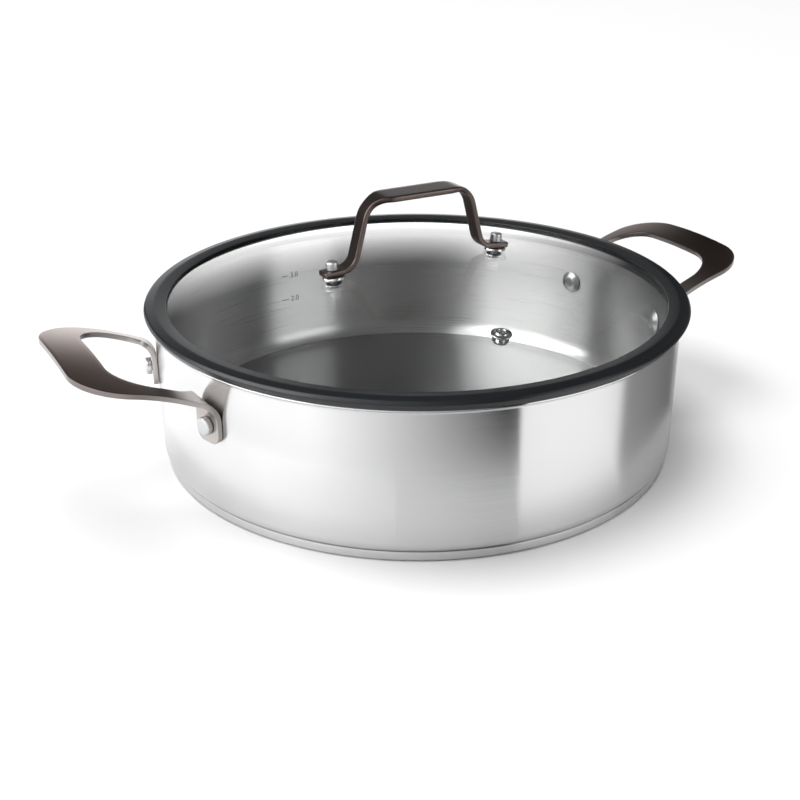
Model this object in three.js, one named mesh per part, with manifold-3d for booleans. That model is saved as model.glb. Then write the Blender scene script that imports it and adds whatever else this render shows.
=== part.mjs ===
// Shallow casserole with a glass lid: steel pan, sandwich base, two riveted side handles,
// domed lid with a soft rim, a bolted strap handle and a steam vent.
// Millimetres, +Z up. The origin is on the pan's axis, at the surface that it stands on.
// The side handles lie along X, and the vent faces -Y.

import * as THREE from 'three';
import { mergeVertices } from 'three/addons/utils/BufferGeometryUtils.js';
import Module from 'manifold-3d';

const wasm = await Module();
wasm.setup();

// Pan
const panInnerRadius = 140;
const panWall = 1;
const panHeight = 80; // table to lip
const panCorner = 6; // outside radius between wall and floor
const lipFlare = 2.3; // how far the pouring lip turns out
const lipHeight = 3.5;

// Sandwich base
const coreThickness = 2.5;
const capWall = 0.8;
const baseInset = 1.9; // base's side, in from the pan's wall
const baseEdge = 1; // round at the foot of the base

// Side handles
const handleReach = 56.6; // wall to the end of the grip
const handleWidth = 94.6;
const handleThickness = 2.6;
const gripDepth = 18.8; // width of the grip, out from the pan
const gripOuterCorner = 23.8;
const gripInnerCorner = 19.4;
const gripRise = 5.7; // lip to the middle of the sheet at the grip's end
const gripSlope = 4.5; // degrees
const gripCrown = 3.4; // middle of the grip over its sides
const stemWidth = 8.6;
const stemSlope = 23; // degrees
const gripKnee = 24.4; // end of the grip to where its slope meets the stem's
const gripBend = 145; // easy curve between stem and grip
const footBend = 12;
const footWidth = 15.6;
const footDrop = 9.2; // rivet to the end of the foot
const footCorner = 5;
const footFlare = 11; // length over which the foot narrows to the stem

// Handle rivets
const rivetDrop = 26.5; // lip to rivet
const rivetInset = 7; // side of the handle to rivet
const rivetShank = 5; // diameter
const rivetOuterHead = 9.2; // diameter
const rivetOuterRise = 3.1;
const rivetOuterSide = 1.4; // straight part of the outer head
const rivetInnerHead = 12.5; // diameter
const rivetInnerRise = 2.6;

// Lid glass
const glassInset = 3; // pan's inner wall to the edge of the glass
const glassThickness = 4;
const domeHeight = 18.4; // edge to crown
const glassLift = 3; // lip to the top of the glass edge

// Soft rim of the lid
const rimOverhang = 0.5; // underside, out past the lip
const rimLean = 2; // widest part, out past the underside
const rimShoulder = 3.6; // lip to the widest part
const rimCrown = 5.8; // lip to the top of the rim
const rimCrownInset = 5.8; // widest part to the top, seen from above
const rimGrip = 3.1; // cover over the edge of the glass
const rimLip = 1; // thickness at the inner edge
const plugClearance = 0.9; // to the pan's wall
const plugWall = 3;
const plugDepth = 6; // below the pan's lip

// Lid handle
const strapThickness = 2.8;
const strapBarWidth = 17;
const strapLegWidth = 9;
const strapHeight = 36; // feet to bar
const strapFoot = 11; // screw to the corner of the foot
const strapFootEnd = 6.3; // screw to the end of the foot
const strapFootCut = 1; // cut corners of the foot
const strapLean = 9; // corner of the foot to the corner of the bar, seen from above
const strapTopBend = 13;
const strapFootBend = 9;

// Lid handle fixings
const screwSpacing = 99;
const screwShank = 4; // diameter
const screwHead = 6.5; // diameter
const screwHeadRise = 4.6;
const screwHeadRound = 1.1;
const flangeRadius = 6.1;
const flangeRise = 1.6;
const flangeChamfer = 0.8;
const gasketRadius = 4.2;
const gasketThickness = 0.4;
const nutRadius = 3.8;
const nutRise = 1.2;
const nutRound = 0.5;

// Steam vent
const ventInset = 42; // edge of the glass to the vent
const ventTurn = -4.5; // degrees, from square to the lid handle
const ventHole = 3.8; // diameter
const ventWall = 0.8;
const ventRadius = 5.2;
const ventEdge = 0.5; // thickness at the outer edge
const ventCollar = 1.4; // width of the raised ring round the hole
const ventRise = 1.6;
const ventCrimp = 1; // rolled lower end, out past the tube
const ventGasket = 0.4;
const ventWasher = 0.5;
const ventWasherWidth = 1.5; // out past the tube

// Fits
const fitGap = 0.25; // between pieces that bear on each other
const holeGap = 0.3; // round a shank in its hole

// Facets
const ringSides = 60;
const handleColumns = 14;
const smallSides = 18;
const arcSteps = 5;
const edgeSteps = 3;
const domeSteps = 6;

const materials = {
  steel: new THREE.MeshStandardMaterial({ color: 0xc9cacc, roughness: 0.32, metalness: 1 }),
  aluminium: new THREE.MeshStandardMaterial({ color: 0xd4d6d8, roughness: 0.4, metalness: 1 }),
  bronze: new THREE.MeshStandardMaterial({ color: 0x5a4a47, roughness: 0.38, metalness: 0.9 }),
  chrome: new THREE.MeshStandardMaterial({ color: 0xe2e4e6, roughness: 0.12, metalness: 1 }),
  silicone: new THREE.MeshStandardMaterial({ color: 0x2b2f33, roughness: 0.5, metalness: 0 }),
  glass: new THREE.MeshStandardMaterial({ color: 0xe6efec, roughness: 0.03, metalness: 0 }),
};

// A closed three.js geometry as a solid that can be cut and joined.
function solidOf(geometry) {
  geometry.deleteAttribute('normal');
  geometry.deleteAttribute('uv');
  const welded = mergeVertices(geometry);
  const corners = welded.index.array;
  const triangles = [];
  for (let i = 0; i < corners.length; i += 3) {
    const [a, b, c] = corners.slice(i, i + 3);
    const flat = a === b || b === c || c === a;
    if (!flat) triangles.push(a, b, c);
  }
  return new wasm.Manifold(new wasm.Mesh({
    numProp: 3,
    vertProperties: new Float32Array(welded.attributes.position.array),
    triVerts: new Uint32Array(triangles),
  }));
}

function meshOf(name, solid, material) {
  const { vertProperties, triVerts } = solid.getMesh();
  const geometry = new THREE.BufferGeometry();
  geometry.setAttribute('position', new THREE.BufferAttribute(vertProperties, 3));
  geometry.setIndex(new THREE.BufferAttribute(triVerts, 1));
  geometry.computeVertexNormals();
  const mesh = new THREE.Mesh(geometry, material);
  mesh.name = name;
  return mesh;
}

// A profile of [radius, height] points that starts and ends on the axis, turned about Z.
function turned(profile, sides) {
  const points = profile.map(([radius, height]) => new THREE.Vector2(radius, height));
  const lathe = new THREE.LatheGeometry(points, sides);
  lathe.rotateX(Math.PI / 2);
  return solidOf(lathe);
}

// A profile that closes on itself, turned about Z.
function turnedRing(profile, sides) {
  return turned([...profile, profile[0]], sides);
}

function plainRing(innerRadius, outerRadius, bottom, top, sides) {
  const profile = [[innerRadius, bottom], [outerRadius, bottom], [outerRadius, top], [innerRadius, top]];
  return turnedRing(profile, sides);
}

// A round pin on Z, for cutting holes.
function pin(radius, bottom, top, sides) {
  return turned([[0, bottom], [radius, bottom], [radius, top], [0, top]], sides);
}

// An outline of [x, y] points as a prism along Z, centred on its depth.
function prism(outline, depth) {
  const shape = new THREE.Shape(outline.map(([x, y]) => new THREE.Vector2(x, y)));
  const block = new THREE.ExtrudeGeometry(shape, { depth, bevelEnabled: false });
  block.translate(0, 0, -depth / 2);
  return block;
}

// Points of an arc from one angle to another, in degrees.
function arc(centreX, centreY, radius, from, to, steps) {
  return Array.from({ length: steps + 1 }, (_, i) => {
    const angle = THREE.MathUtils.degToRad(from + ((to - from) * i) / steps);
    return [centreX + radius * Math.cos(angle), centreY + radius * Math.sin(angle)];
  });
}

// Points of a curve that leaves its start and meets its end in line with its middle point.
function easyCurve(start, middle, end, steps) {
  const [from, through, to] = [start, middle, end].map(([x, y]) => new THREE.Vector2(x, y));
  return new THREE.QuadraticBezierCurve(from, through, to).getPoints(steps).map(({ x, y }) => [x, y]);
}

// Points of a dome on the axis, from its edge to its crown.
function domed(radius, edge, crown, steps) {
  return arc(0, 0, 1, 0, 90, steps).map(([out, up]) => [radius * out, edge + (crown - edge) * up]);
}

// Outline of a sheet that is bent along a path of corners, each with its own bend radius.
function bentSheet(corners, bends, thickness) {
  const path = corners.map(([x, y]) => new THREE.Vector2(x, y));
  const origin = new THREE.Vector2();
  const near = [];
  const far = [];
  const addPair = (point, direction) => {
    const across = new THREE.Vector2(direction.y, -direction.x).multiplyScalar(thickness / 2);
    near.push([point.x + across.x, point.y + across.y]);
    far.unshift([point.x - across.x, point.y - across.y]);
  };
  const heading = (i) => path[i + 1].clone().sub(path[i]).normalize();
  addPair(path[0], heading(0));
  bends.forEach((radius, i) => {
    const before = heading(i);
    const turn = Math.atan2(before.cross(heading(i + 1)), before.dot(heading(i + 1)));
    const reach = radius * Math.tan(Math.abs(turn) / 2);
    const start = path[i + 1].clone().addScaledVector(before, -reach);
    const side = new THREE.Vector2(-before.y, before.x).multiplyScalar(Math.sign(turn));
    const centre = start.clone().addScaledVector(side, radius);
    for (let step = 0; step <= arcSteps; step += 1) {
      const angle = (turn * step) / arcSteps;
      addPair(start.clone().rotateAround(centre, angle), before.clone().rotateAround(origin, angle));
    }
  });
  addPair(path[path.length - 1], heading(path.length - 2));
  return [...near, ...far];
}

// A skin over outlines of [x, z] points, one behind another along Y and closed at both ends.
function skin(outlines, places) {
  const count = outlines[0].length;
  const last = (outlines.length - 1) * count;
  const points = outlines.flatMap((outline, i) => outline.flatMap(([x, z]) => [x, places[i], z]));
  const lids = outlines.map((outline) => outline.map(([x, z]) => new THREE.Vector2(x, z)));
  const corners = [];
  THREE.ShapeUtils.triangulateShape(lids[0], []).forEach(([a, b, c]) => corners.push(a, b, c));
  THREE.ShapeUtils.triangulateShape(lids[lids.length - 1], [])
    .forEach(([a, b, c]) => corners.push(last + c, last + b, last + a));
  for (let i = 0; i < last; i += count) {
    for (let j = 0; j < count; j += 1) {
      const next = (j + 1) % count;
      corners.push(i + count + j, i + count + next, i + next, i + count + j, i + next, i + j);
    }
  }
  const geometry = new THREE.BufferGeometry();
  geometry.setAttribute('position', new THREE.Float32BufferAttribute(points, 3));
  geometry.setIndex(corners);
  return solidOf(geometry);
}

// Pan and base

const panOuterRadius = panInnerRadius + panWall;
const coreBottom = capWall + fitGap;
const floorBottom = coreBottom + coreThickness + fitGap;
const floorTop = floorBottom + panWall;
const cornerCentre = [panOuterRadius - panCorner, floorBottom + panCorner];
const baseRadius = panOuterRadius - baseInset;
const lipStart = panHeight - lipHeight;
const lipRadius = panOuterRadius + lipFlare;

// Height of the pan's underside at a radius, on its floor or on its round corner.
function undersideAt(radius) {
  const out = Math.max(0, radius - cornerCentre[0]);
  return cornerCentre[1] - Math.sqrt(panCorner ** 2 - out ** 2);
}

function makePanShell() {
  const shell = turned([
    [0, floorBottom],
    ...arc(...cornerCentre, panCorner, -90, 0, arcSteps),
    ...easyCurve(
      [panOuterRadius, lipStart],
      [panOuterRadius, panHeight - panWall],
      [lipRadius, panHeight - panWall],
      edgeSteps,
    ),
    [lipRadius, panHeight],
    ...easyCurve(
      [lipRadius - panWall, panHeight],
      [panInnerRadius, panHeight],
      [panInnerRadius, lipStart],
      edgeSteps,
    ),
    ...arc(...cornerCentre, panCorner - panWall, 0, -90, arcSteps),
    [0, floorTop],
  ], ringSides);
  return rivetPlaces.reduce((left, place) => left.subtract(rivetHole(place)), shell);
}

function makeBaseCap() {
  const inside = baseRadius - capWall;
  return turned([
    [0, 0],
    ...arc(baseRadius - baseEdge, baseEdge, baseEdge, -90, 0, arcSteps),
    [baseRadius, undersideAt(baseRadius) - fitGap],
    [inside, undersideAt(inside) - fitGap],
    [inside, baseEdge],
    [baseRadius - baseEdge, capWall],
    [0, capWall],
  ], ringSides);
}

function makeBaseCore() {
  const radius = baseRadius - capWall - fitGap;
  const top = coreBottom + coreThickness;
  return turned([
    [0, coreBottom],
    [radius - baseEdge, coreBottom],
    [radius, coreBottom + baseEdge],
    [radius, top],
    [0, top],
  ], ringSides);
}

// Handle rivets, on the pan's axis at the height of the rivets

const rivetHeight = panHeight - rivetDrop;
const rivetSpacing = handleWidth - 2 * rivetInset;
const rivetAngle = THREE.MathUtils.radToDeg(Math.asin(rivetSpacing / 2 / panOuterRadius));
const footFace = panOuterRadius + fitGap + handleThickness;
const rivetPlaces = [
  { name: 'right_rear_rivet', angle: rivetAngle },
  { name: 'right_front_rivet', angle: -rivetAngle },
  { name: 'left_front_rivet', angle: 180 + rivetAngle },
  { name: 'left_rear_rivet', angle: 180 - rivetAngle },
];

// Lays a piece made along Z out from the pan's axis, in the direction of a rivet.
function layOut(solid, { angle }) {
  return solid.rotate([0, 90, 0]).rotate([0, 0, angle]).translate([0, 0, rivetHeight]);
}

function rivetHole(place) {
  const radius = rivetShank / 2 + holeGap;
  return layOut(pin(radius, panInnerRadius - rivetInnerRise, footFace + rivetOuterRise, smallSides), place);
}

function makeRivet(place) {
  const innerRadius = rivetInnerHead / 2;
  const outerRadius = rivetOuterHead / 2;
  const shank = rivetShank / 2;
  const flatOfWall = Math.cos(Math.PI / ringSides);
  const innerSeat = Math.sqrt(panInnerRadius ** 2 - innerRadius ** 2) * flatOfWall - fitGap;
  const outerSeat = footFace + fitGap;
  const rivet = turned([
    ...domed(innerRadius, innerSeat, innerSeat - rivetInnerRise, edgeSteps).reverse(),
    [shank, innerSeat],
    [shank, outerSeat],
    [outerRadius, outerSeat],
    ...domed(outerRadius, outerSeat + rivetOuterSide, outerSeat + rivetOuterRise, edgeSteps),
  ], smallSides);
  return layOut(rivet, place);
}

// Side handles: a bent sheet, crowned across, cut to its outline from above and from the side

const footInner = (rivetSpacing - footWidth) / 2;
const footOuter = (rivetSpacing + footWidth) / 2;
const footEnd = rivetHeight - footDrop;
const gripEnd = panOuterRadius + handleReach;
const gripHeight = panHeight + gripRise;
const blankLength = 2 * gripEnd; // longer than any piece, for blanks and cuts

// The bent sheet's section at a distance from the handle's middle; the foot follows the round wall.
function handleSection(aside) {
  const stem = Math.tan(THREE.MathUtils.degToRad(stemSlope));
  const grip = Math.tan(THREE.MathUtils.degToRad(gripSlope));
  const footRadius = panOuterRadius + fitGap + handleThickness / 2;
  const foot = Math.sqrt(footRadius ** 2 - Math.max(Math.abs(aside), footInner / 2) ** 2);
  const knee = gripEnd - gripKnee;
  const end = gripEnd + gripDepth;
  const drop = gripCrown * (aside / (handleWidth / 2)) ** 2;
  const endHeight = gripHeight + (end - gripEnd) * grip - drop;
  const kneeHeight = endHeight - (end - knee) * grip;
  const bendHeight = kneeHeight - (knee - foot) * stem;
  const corners = [[foot, footEnd], [foot, bendHeight], [knee, kneeHeight], [end, endHeight]];
  return bentSheet(corners, [footBend, gripBend], handleThickness);
}

function handleSheet() {
  const reach = Math.max(handleWidth / 2, footOuter) + handleThickness;
  const places = Array.from({ length: handleColumns + 1 }, (_, i) => reach * ((2 * i) / handleColumns - 1));
  return skin(places.map(handleSection), places);
}

// Half of the handle from above, from the pan's axis out; the other half mirrors it.
function handlePlan() {
  const half = handleWidth / 2;
  const opening = gripEnd - gripDepth;
  const stemInner = half - stemWidth;
  const wallX = Math.sqrt(panOuterRadius ** 2 - footInner ** 2);
  const outer = [
    [0, footOuter],
    [wallX, footOuter],
    [wallX + footFlare, half],
    ...arc(gripEnd - gripOuterCorner, half - gripOuterCorner, gripOuterCorner, 90, 0, arcSteps + 1),
  ];
  const inner = [
    ...arc(opening - gripInnerCorner, stemInner - gripInnerCorner, gripInnerCorner, 0, 90, arcSteps + 1),
    [wallX + footFlare, stemInner],
    [wallX, footInner],
    [0, footInner],
  ];
  const mirrored = (points) => points.map(([x, y]) => [x, -y]).reverse();
  return [...outer, ...mirrored(outer), ...mirrored(inner), ...inner];
}

// The handle's two tongues and what lies above them, seen along X.
function handleFront() {
  const beyond = handleWidth;
  const tongueTop = rivetHeight + rivetOuterHead / 2;
  const ceiling = gripHeight + handleWidth;
  const tongue = [
    [footOuter, tongueTop],
    ...arc(footOuter - footCorner, footEnd + footCorner, footCorner, 0, -90, arcSteps),
    ...arc(footInner + footCorner, footEnd + footCorner, footCorner, -90, -180, arcSteps),
    [footInner, tongueTop],
  ];
  const mirrored = tongue.map(([y, z]) => [-y, z]).reverse();
  const near = [[beyond, ceiling], [beyond, tongueTop]];
  const far = [[-beyond, tongueTop], [-beyond, ceiling]];
  return [...near, ...tongue, ...mirrored, ...far];
}

function makeRightHandle() {
  const plan = solidOf(prism(handlePlan(), blankLength));
  const front = prism(handleFront(), blankLength);
  const along = new THREE.Vector3(1, 0, 0);
  const across = new THREE.Vector3(0, 1, 0);
  const up = new THREE.Vector3(0, 0, 1);
  front.applyMatrix4(new THREE.Matrix4().makeBasis(across, up, along));
  front.translate(blankLength / 2, 0, 0);
  const blank = handleSheet().intersect(plan).intersect(solidOf(front));
  const [rear, near] = rivetPlaces;
  return blank.subtract(rivetHole(rear)).subtract(rivetHole(near));
}

// Lid glass

const lidSeat = panHeight + fitGap; // underside of the rim, on the lip
const glassRadius = panInnerRadius - glassInset;
const glassEdgeTop = panHeight + glassLift;
const domeRadius = (glassRadius ** 2 + domeHeight ** 2) / (2 * domeHeight);
const domeCentre = glassEdgeTop + domeHeight - domeRadius;

function glassTopAt(radius) {
  return domeCentre + Math.sqrt(domeRadius ** 2 - radius ** 2);
}

function glassBottomAt(radius) {
  return glassTopAt(radius) - glassThickness;
}

// A domed sheet between two heights above the glass's own faces.
function domeSheet(radius, above, below) {
  const rings = Array.from({ length: domeSteps + 1 }, (_, i) => (radius * i) / domeSteps);
  const top = rings.map((r) => [r, glassTopAt(r) + above]).reverse();
  const bottom = rings.map((r) => [r, glassBottomAt(r) - below]);
  return turned([...bottom, ...top], ringSides);
}

const screwRadius = screwSpacing / 2;
const screwTilt = Math.asin(screwRadius / domeRadius);
const screwPlaces = [
  { side: 'left', x: -screwRadius, tilt: -screwTilt },
  { side: 'right', x: screwRadius, tilt: screwTilt },
];
const ventOffset = glassRadius - ventInset;
const ventTilt = Math.asin(ventOffset / domeRadius);

function ventHolePin() {
  const radius = ventHole / 2 + ventWall + holeGap;
  const tilt = THREE.MathUtils.radToDeg(ventTilt);
  return pin(radius, -domeHeight, domeHeight, smallSides)
    .rotate([tilt, 0, 0])
    .translate([0, -ventOffset, glassTopAt(ventOffset)])
    .rotate([0, 0, ventTurn]);
}

// Sets a piece made about Z square on the glass at a screw.
function onGlass(solid, { x, tilt }) {
  const degrees = THREE.MathUtils.radToDeg(tilt);
  return solid.rotate([0, degrees, 0]).translate([x, 0, glassTopAt(screwRadius)]);
}

function screwHolePin(place) {
  return onGlass(pin(screwShank / 2 + holeGap, -domeHeight, domeHeight, smallSides), place);
}

function makeLidGlass() {
  const dome = domeSheet(glassRadius, 0, 0).subtract(ventHolePin());
  return screwPlaces.reduce((left, place) => left.subtract(screwHolePin(place)), dome);
}

// Soft rim: a crowned flange on the lip, a groove round the glass and a plug inside the pan

function makeLidRim() {
  const rimFoot = lipRadius + rimOverhang;
  const rimRadius = rimFoot + rimLean;
  const rimCrownRadius = rimRadius - rimCrownInset;
  const plugRadius = panInnerRadius - plugClearance;
  const plugBottom = panHeight - plugDepth;
  const plugInner = plugRadius - plugWall;
  const grooveEnd = glassRadius + fitGap;
  const gripRadius = glassRadius - rimGrip;
  const innerTop = glassTopAt(gripRadius) + fitGap + rimLip;
  const crownTop = panHeight + rimCrown;
  const outerCrown = easyCurve(
    [rimRadius, panHeight + rimShoulder],
    [rimRadius - rimLip, crownTop],
    [rimCrownRadius, crownTop],
    edgeSteps,
  );
  const innerCrown = easyCurve(
    [rimCrownRadius, crownTop],
    [(gripRadius + rimCrownRadius) / 2, crownTop],
    [gripRadius, innerTop],
    edgeSteps,
  );
  return turnedRing([
    [plugInner, plugBottom],
    [plugRadius - rimLip / 2, plugBottom],
    [plugRadius, plugBottom + rimLip],
    [plugRadius, lidSeat],
    [rimFoot, lidSeat],
    ...outerCrown,
    ...innerCrown.slice(1),
    [gripRadius, glassTopAt(gripRadius) + fitGap],
    [grooveEnd, glassTopAt(grooveEnd) + fitGap],
    [grooveEnd, glassBottomAt(grooveEnd) - fitGap],
    [gripRadius, glassBottomAt(gripRadius) - fitGap],
    [gripRadius, glassBottomAt(gripRadius) - fitGap - rimLip],
  ], ringSides);
}

// Fixings of the lid handle, stacked square to the glass: heights are from the top of the glass

const gasketTop = fitGap + gasketThickness;
const flangeBottom = gasketTop + fitGap;
const flangeTop = flangeBottom + flangeRise;
const strapBottom = flangeTop + fitGap;
const strapTop = strapBottom + strapThickness;
const lowerGasketBottom = -glassThickness - fitGap - gasketThickness;
const nutTop = lowerGasketBottom - fitGap;
const nutBottom = nutTop - nutRise;
const screwBore = screwShank / 2 + holeGap;

function makeScrew(place) {
  const head = screwHead / 2;
  const shank = screwShank / 2;
  const seat = strapTop + fitGap;
  const top = seat + screwHeadRise;
  const screw = turned([
    [0, nutBottom],
    [shank, nutBottom],
    [shank, seat],
    [head, seat],
    ...arc(head - screwHeadRound, top - screwHeadRound, screwHeadRound, 0, 90, edgeSteps),
    [0, top],
  ], smallSides);
  return onGlass(screw, place);
}

function makeFlange(place) {
  const flange = turnedRing([
    [screwBore, flangeBottom],
    [flangeRadius, flangeBottom],
    [flangeRadius, flangeTop - flangeChamfer],
    [flangeRadius - flangeChamfer, flangeTop],
    [screwBore, flangeTop],
  ], smallSides);
  return onGlass(flange, place);
}

// The soft washers are cut to the curve of the glass.
function makeUpperGasket(place) {
  const ring = plainRing(screwBore, gasketRadius, -glassThickness, gasketTop, smallSides);
  return onGlass(ring, place).subtract(domeSheet(glassRadius, fitGap, glassThickness));
}

function makeLowerGasket(place) {
  const ring = plainRing(screwBore, gasketRadius, lowerGasketBottom, 0, smallSides);
  return onGlass(ring, place).subtract(domeSheet(glassRadius, glassThickness, fitGap));
}

function makeNut(place) {
  const nut = turnedRing([
    [screwBore, nutBottom],
    ...arc(nutRadius - nutRound, nutBottom + nutRound, nutRound, -90, 0, edgeSteps),
    [nutRadius, nutTop],
    [screwBore, nutTop],
  ], smallSides);
  return onGlass(nut, place);
}

// Lid handle: a bent strap on X, narrower at the legs and feet than at the bar

const footMiddle = strapBottom + strapThickness / 2;

// A point in XZ on the right foot's middle, at a distance out from the screw.
function onFoot(out) {
  const rise = glassTopAt(screwRadius) + footMiddle * Math.cos(screwTilt);
  const screwAt = screwRadius + footMiddle * Math.sin(screwTilt);
  return [screwAt + out * Math.cos(screwTilt), rise - out * Math.sin(screwTilt)];
}

const strapTip = onFoot(strapFootEnd);
const footCornerAt = onFoot(-strapFoot);
const barCornerAt = [footCornerAt[0] - strapLean, onFoot(0)[1] + strapHeight];

function strapPlan() {
  const bar = strapBarWidth / 2;
  const leg = strapLegWidth / 2;
  const [legStart] = barCornerAt;
  const barEnd = legStart - strapTopBend;
  const past = (leg - strapFootCut) / 2; // how far the plan runs on, past the tip
  const cut = strapTip[0] - strapFootCut;
  const tip = [strapTip[0] + past, leg - strapFootCut - past];
  const quarter = [[barEnd, bar], [legStart, leg], [cut, leg], tip];
  const front = [...quarter, ...quarter.map(([x, y]) => [x, -y]).reverse()];
  return [...front, ...front.map(([x, y]) => [-x, -y])];
}

function makeLidHandle() {
  const right = [barCornerAt, footCornerAt, strapTip];
  const left = right.map(([x, z]) => [-x, z]).reverse();
  const bends = [strapFootBend, strapTopBend, strapTopBend, strapFootBend];
  const strip = prism(bentSheet([...left, ...right], bends, strapThickness), blankLength);
  strip.rotateX(Math.PI / 2);
  const strap = solidOf(strip).intersect(solidOf(prism(strapPlan(), blankLength)));
  return screwPlaces.reduce((left, place) => left.subtract(screwHolePin(place)), strap);
}

// Steam vent, square to the glass: heights are from the top of the glass

const ventInner = ventHole / 2;
const ventTube = ventInner + ventWall;
const ventBore = ventTube + holeGap;
const ventSeat = fitGap + ventGasket + fitGap;
const ventWasherTop = -glassThickness - fitGap;
const ventWasherBottom = ventWasherTop - ventWasher;
const ventCrimpTop = ventWasherBottom - fitGap;

function makeVentEyelet() {
  const collarRound = ventCollar / 2;
  const ventTop = ventSeat + ventRise;
  const rolledEnd = ventTube + ventCrimp;
  return turnedRing([
    [ventInner, ventCrimpTop - ventWasher],
    [rolledEnd, ventCrimpTop - ventWasher],
    [rolledEnd, ventCrimpTop],
    [ventTube, ventCrimpTop],
    [ventTube, ventSeat],
    [ventRadius, ventSeat],
    [ventRadius, ventSeat + ventEdge],
    ...arc(ventInner + collarRound, ventTop - collarRound, collarRound, 0, 180, 2 * edgeSteps),
  ], smallSides);
}

function makeVentGasket() {
  return plainRing(ventBore, ventRadius - ventGasket, fitGap, fitGap + ventGasket, smallSides);
}

function makeVentWasher() {
  return plainRing(ventBore, ventTube + ventWasherWidth, ventWasherBottom, ventWasherTop, smallSides);
}

// Assembly

const pan = new THREE.Group();
pan.add(meshOf('pan_shell', makePanShell(), materials.steel));
pan.add(meshOf('base_core', makeBaseCore(), materials.aluminium));
pan.add(meshOf('base_cap', makeBaseCap(), materials.steel));
const handle = makeRightHandle();
pan.add(meshOf('right_handle', handle, materials.bronze));
pan.add(meshOf('left_handle', handle.rotate([0, 0, 180]), materials.bronze));
rivetPlaces.forEach((place) => pan.add(meshOf(place.name, makeRivet(place), materials.chrome)));

const lid = new THREE.Group();
lid.add(meshOf('lid_glass', makeLidGlass(), materials.glass));
lid.add(meshOf('lid_rim', makeLidRim(), materials.silicone));
lid.add(meshOf('lid_handle', makeLidHandle(), materials.bronze));
screwPlaces.forEach((place) => {
  lid.add(meshOf(`${place.side}_screw`, makeScrew(place), materials.chrome));
  lid.add(meshOf(`${place.side}_flange`, makeFlange(place), materials.chrome));
  lid.add(meshOf(`${place.side}_upper_gasket`, makeUpperGasket(place), materials.silicone));
  lid.add(meshOf(`${place.side}_lower_gasket`, makeLowerGasket(place), materials.silicone));
  lid.add(meshOf(`${place.side}_nut`, makeNut(place), materials.steel));
});

const vent = new THREE.Group();
vent.position.set(0, -ventOffset, glassTopAt(ventOffset));
vent.rotation.x = ventTilt;
vent.add(meshOf('vent_eyelet', makeVentEyelet(), materials.chrome));
vent.add(meshOf('vent_gasket', makeVentGasket(), materials.silicone));
vent.add(meshOf('vent_washer', makeVentWasher(), materials.steel));
const ventSide = new THREE.Group();
ventSide.rotation.z = THREE.MathUtils.degToRad(ventTurn);
ventSide.add(vent);
lid.add(ventSide);

const casserole = new THREE.Group();
casserole.add(pan, lid);

export default casserole;
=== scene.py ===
import math

import bmesh
import bpy
from mathutils import Matrix, Vector


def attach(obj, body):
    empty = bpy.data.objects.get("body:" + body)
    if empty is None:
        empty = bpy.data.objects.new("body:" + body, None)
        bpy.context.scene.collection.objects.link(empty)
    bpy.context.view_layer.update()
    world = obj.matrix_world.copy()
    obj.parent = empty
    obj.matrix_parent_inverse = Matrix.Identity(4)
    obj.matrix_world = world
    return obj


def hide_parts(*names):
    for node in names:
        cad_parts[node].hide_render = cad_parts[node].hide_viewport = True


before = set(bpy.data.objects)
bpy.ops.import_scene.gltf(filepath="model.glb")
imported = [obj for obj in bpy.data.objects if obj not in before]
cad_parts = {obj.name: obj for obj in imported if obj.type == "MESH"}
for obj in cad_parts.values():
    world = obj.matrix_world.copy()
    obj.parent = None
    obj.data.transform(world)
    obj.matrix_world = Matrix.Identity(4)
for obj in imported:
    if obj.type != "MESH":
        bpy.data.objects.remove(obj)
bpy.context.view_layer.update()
scene = bpy.context.scene
mm = 0.001
weld = 1e-6  # metres within which points are merged
steep = 0.5  # share of a face's normal that counts as pointing one way
noiseRange = (0.3, 0.7)  # where most values of a noise pattern lie
print("frame loaded")


# Materials

def linear(hexText):  # sRGB hex to linear colour
    parts = [int(hexText[i:i + 2], 16) / 255 for i in (1, 3, 5)]
    return [p / 12.92 if p <= 0.04045 else ((p + 0.055) / 1.055) ** 2.4 for p in parts] + [1.0]


def addNode(tree, kind, settings=None, inputs=None):
    node = tree.nodes.new(kind)
    for key, value in (settings or {}).items():
        setattr(node, key, value)
    for key, value in (inputs or {}).items():
        if isinstance(value, bpy.types.NodeSocket):
            tree.links.new(value, node.inputs[key])
        else:
            node.inputs[key].default_value = value
    return node


def startMaterial(name):
    material = bpy.data.materials.new(name)
    material.use_nodes = True
    tree = material.node_tree
    return material, tree, tree.nodes["Principled BSDF"]


def fromAxis(tree, place):  # distance from the pan's axis
    flat = addNode(tree, "ShaderNodeVectorMath", {"operation": "MULTIPLY"}, {0: place, 1: (1, 1, 0)})
    out = addNode(tree, "ShaderNodeVectorMath", {"operation": "LENGTH"}, {0: flat.outputs["Vector"]})
    return out.outputs["Value"]


def cloudTone(tree, place, look):  # colour drifts between two tones in soft clouds
    cloud = addNode(tree, "ShaderNodeTexNoise", None, {
        "Vector": place, "Scale": 1 / (look["cloudSize"] * mm), "Detail": 2})
    tone = addNode(tree, "ShaderNodeMix", {"data_type": "RGBA"}, {
        "Factor": cloud.outputs["Fac"], "A": linear(look["darkTone"]), "B": linear(look["lightTone"])})
    return tone.outputs["Result"]


def spreadGloss(tree, pattern, look):  # roughness follows a pattern
    gloss = addNode(tree, "ShaderNodeMapRange", None, {
        "Value": pattern, "From Min": noiseRange[0], "From Max": noiseRange[1],
        "To Min": look["roughness"] - look["roughSpread"], "To Max": look["roughness"] + look["roughSpread"]})
    return gloss.outputs["Result"]


def raised(tree, pattern, strength, depth):  # relief follows a pattern
    relief = addNode(tree, "ShaderNodeBump", None, {
        "Height": pattern, "Strength": strength, "Distance": depth * mm})
    return relief.outputs["Normal"]


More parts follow.
